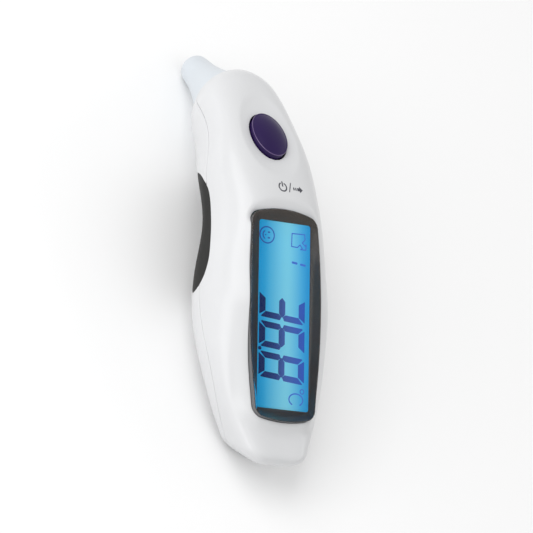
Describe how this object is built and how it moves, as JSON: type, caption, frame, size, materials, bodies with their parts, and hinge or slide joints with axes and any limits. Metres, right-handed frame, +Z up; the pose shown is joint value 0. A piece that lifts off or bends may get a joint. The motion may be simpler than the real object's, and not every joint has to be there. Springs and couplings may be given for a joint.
{
  "type": "digital ear thermometer",
  "caption": "Handheld infrared ear thermometer with a bent white body, a tall blue display, an oval scan button, a dark thumb grip and a tapered probe.",
  "frame": {"origin": "middle of the bottom of the whole object's box, on the surface that the device lies on", "axes": "+Z up, +Y from the battery end towards the probe, +X to the right of someone who reads the display with the probe pointing away"},
  "size_m": [0.0442, 0.1498, 0.0412],
  "materials": {
    "white_shell": "fine satin white shell",
    "white_probe": "satin cool white",
    "dark_grip": "matt dark grey soft-touch insert",
    "clear_lens": "polished clear acrylic",
    "black_print": "black print behind the lens",
    "lcd_glass": "blue back-lit glass",
    "milky_plastic": "milky diffuser",
    "inner_plastic": "matt white moulding",
    "purple_button": "glossy deep purple",
    "circuit_board": "green solder mask",
    "chip_black": "moulded chip case",
    "black_rubber": "matt rubber",
    "steel": "plated steel",
    "brass": "stamped contact metal",
    "cell_jacket": "printed film jacket",
    "amber_film": "amber polyimide film"
  },
  "bodies": {
    "housing": {"front_shell": "white_shell", "rear_shell": "white_shell", "thumb_grip": "dark_grip", "display_lens": "clear_lens", "lens_border": "black_print", "lcd_panel": "lcd_glass", "light_guide": "milky_plastic", "lcd_frame": "inner_plastic", "zebra_connector": "black_rubber", "backlight_led_left": "milky_plastic", "backlight_led_right": "milky_plastic", "main_board": "circuit_board", "microcontroller": "chip_black", "sensor_amplifier": "chip_black", "clock_crystal": "steel", "flex_connector": "milky_plastic", "buffer_capacitor": "cell_jacket", "piezo_buzzer": "chip_black", "board_screw_left": "steel", "board_screw_right": "steel", "battery_tray": "inner_plastic", "cell_left": "cell_jacket", "cell_right": "cell_jacket", "bridge_contact": "brass", "negative_terminal": "brass", "positive_terminal": "brass", "bridge_spring": "steel", "terminal_spring": "steel", "shell_screw_left": "steel", "shell_screw_right": "steel", "tact_switch": "steel", "switch_board": "circuit_board", "switch_screw_left": "steel", "switch_screw_right": "steel", "probe_cone": "white_probe", "probe_window": "lcd_glass", "sensor_barrel": "steel", "thermopile_sensor": "brass", "barrel_seal": "black_rubber", "sensor_flex": "amber_film"},
    "cover": {"battery_cover": "white_shell"},
    "button": {"scan_button": "purple_button"},
    "plunger": {"switch_plunger": "black_rubber"}
  },
  "joints": [
    {"name": "cover_slide", "type": "slide", "parent": "housing", "child": "cover", "axis": [0, -0.9799, -0.1994], "range_m": [0, 0.052]},
    {"name": "button_press", "type": "slide", "parent": "housing", "child": "button", "axis": [0, -0.2011, -0.9796], "range_m": [0, 0.0005], "stiffness_N_per_m": 2000, "springref_m": -0.0002},
    {"name": "plunger_press", "type": "slide", "parent": "housing", "child": "plunger", "axis": [0, -0.2011, -0.9796], "range_m": [0, 0.0005]}
  ],
  "couplings": [
    {"joint": "plunger_press", "follows": "button_press", "ratio": 1}
  ]
}
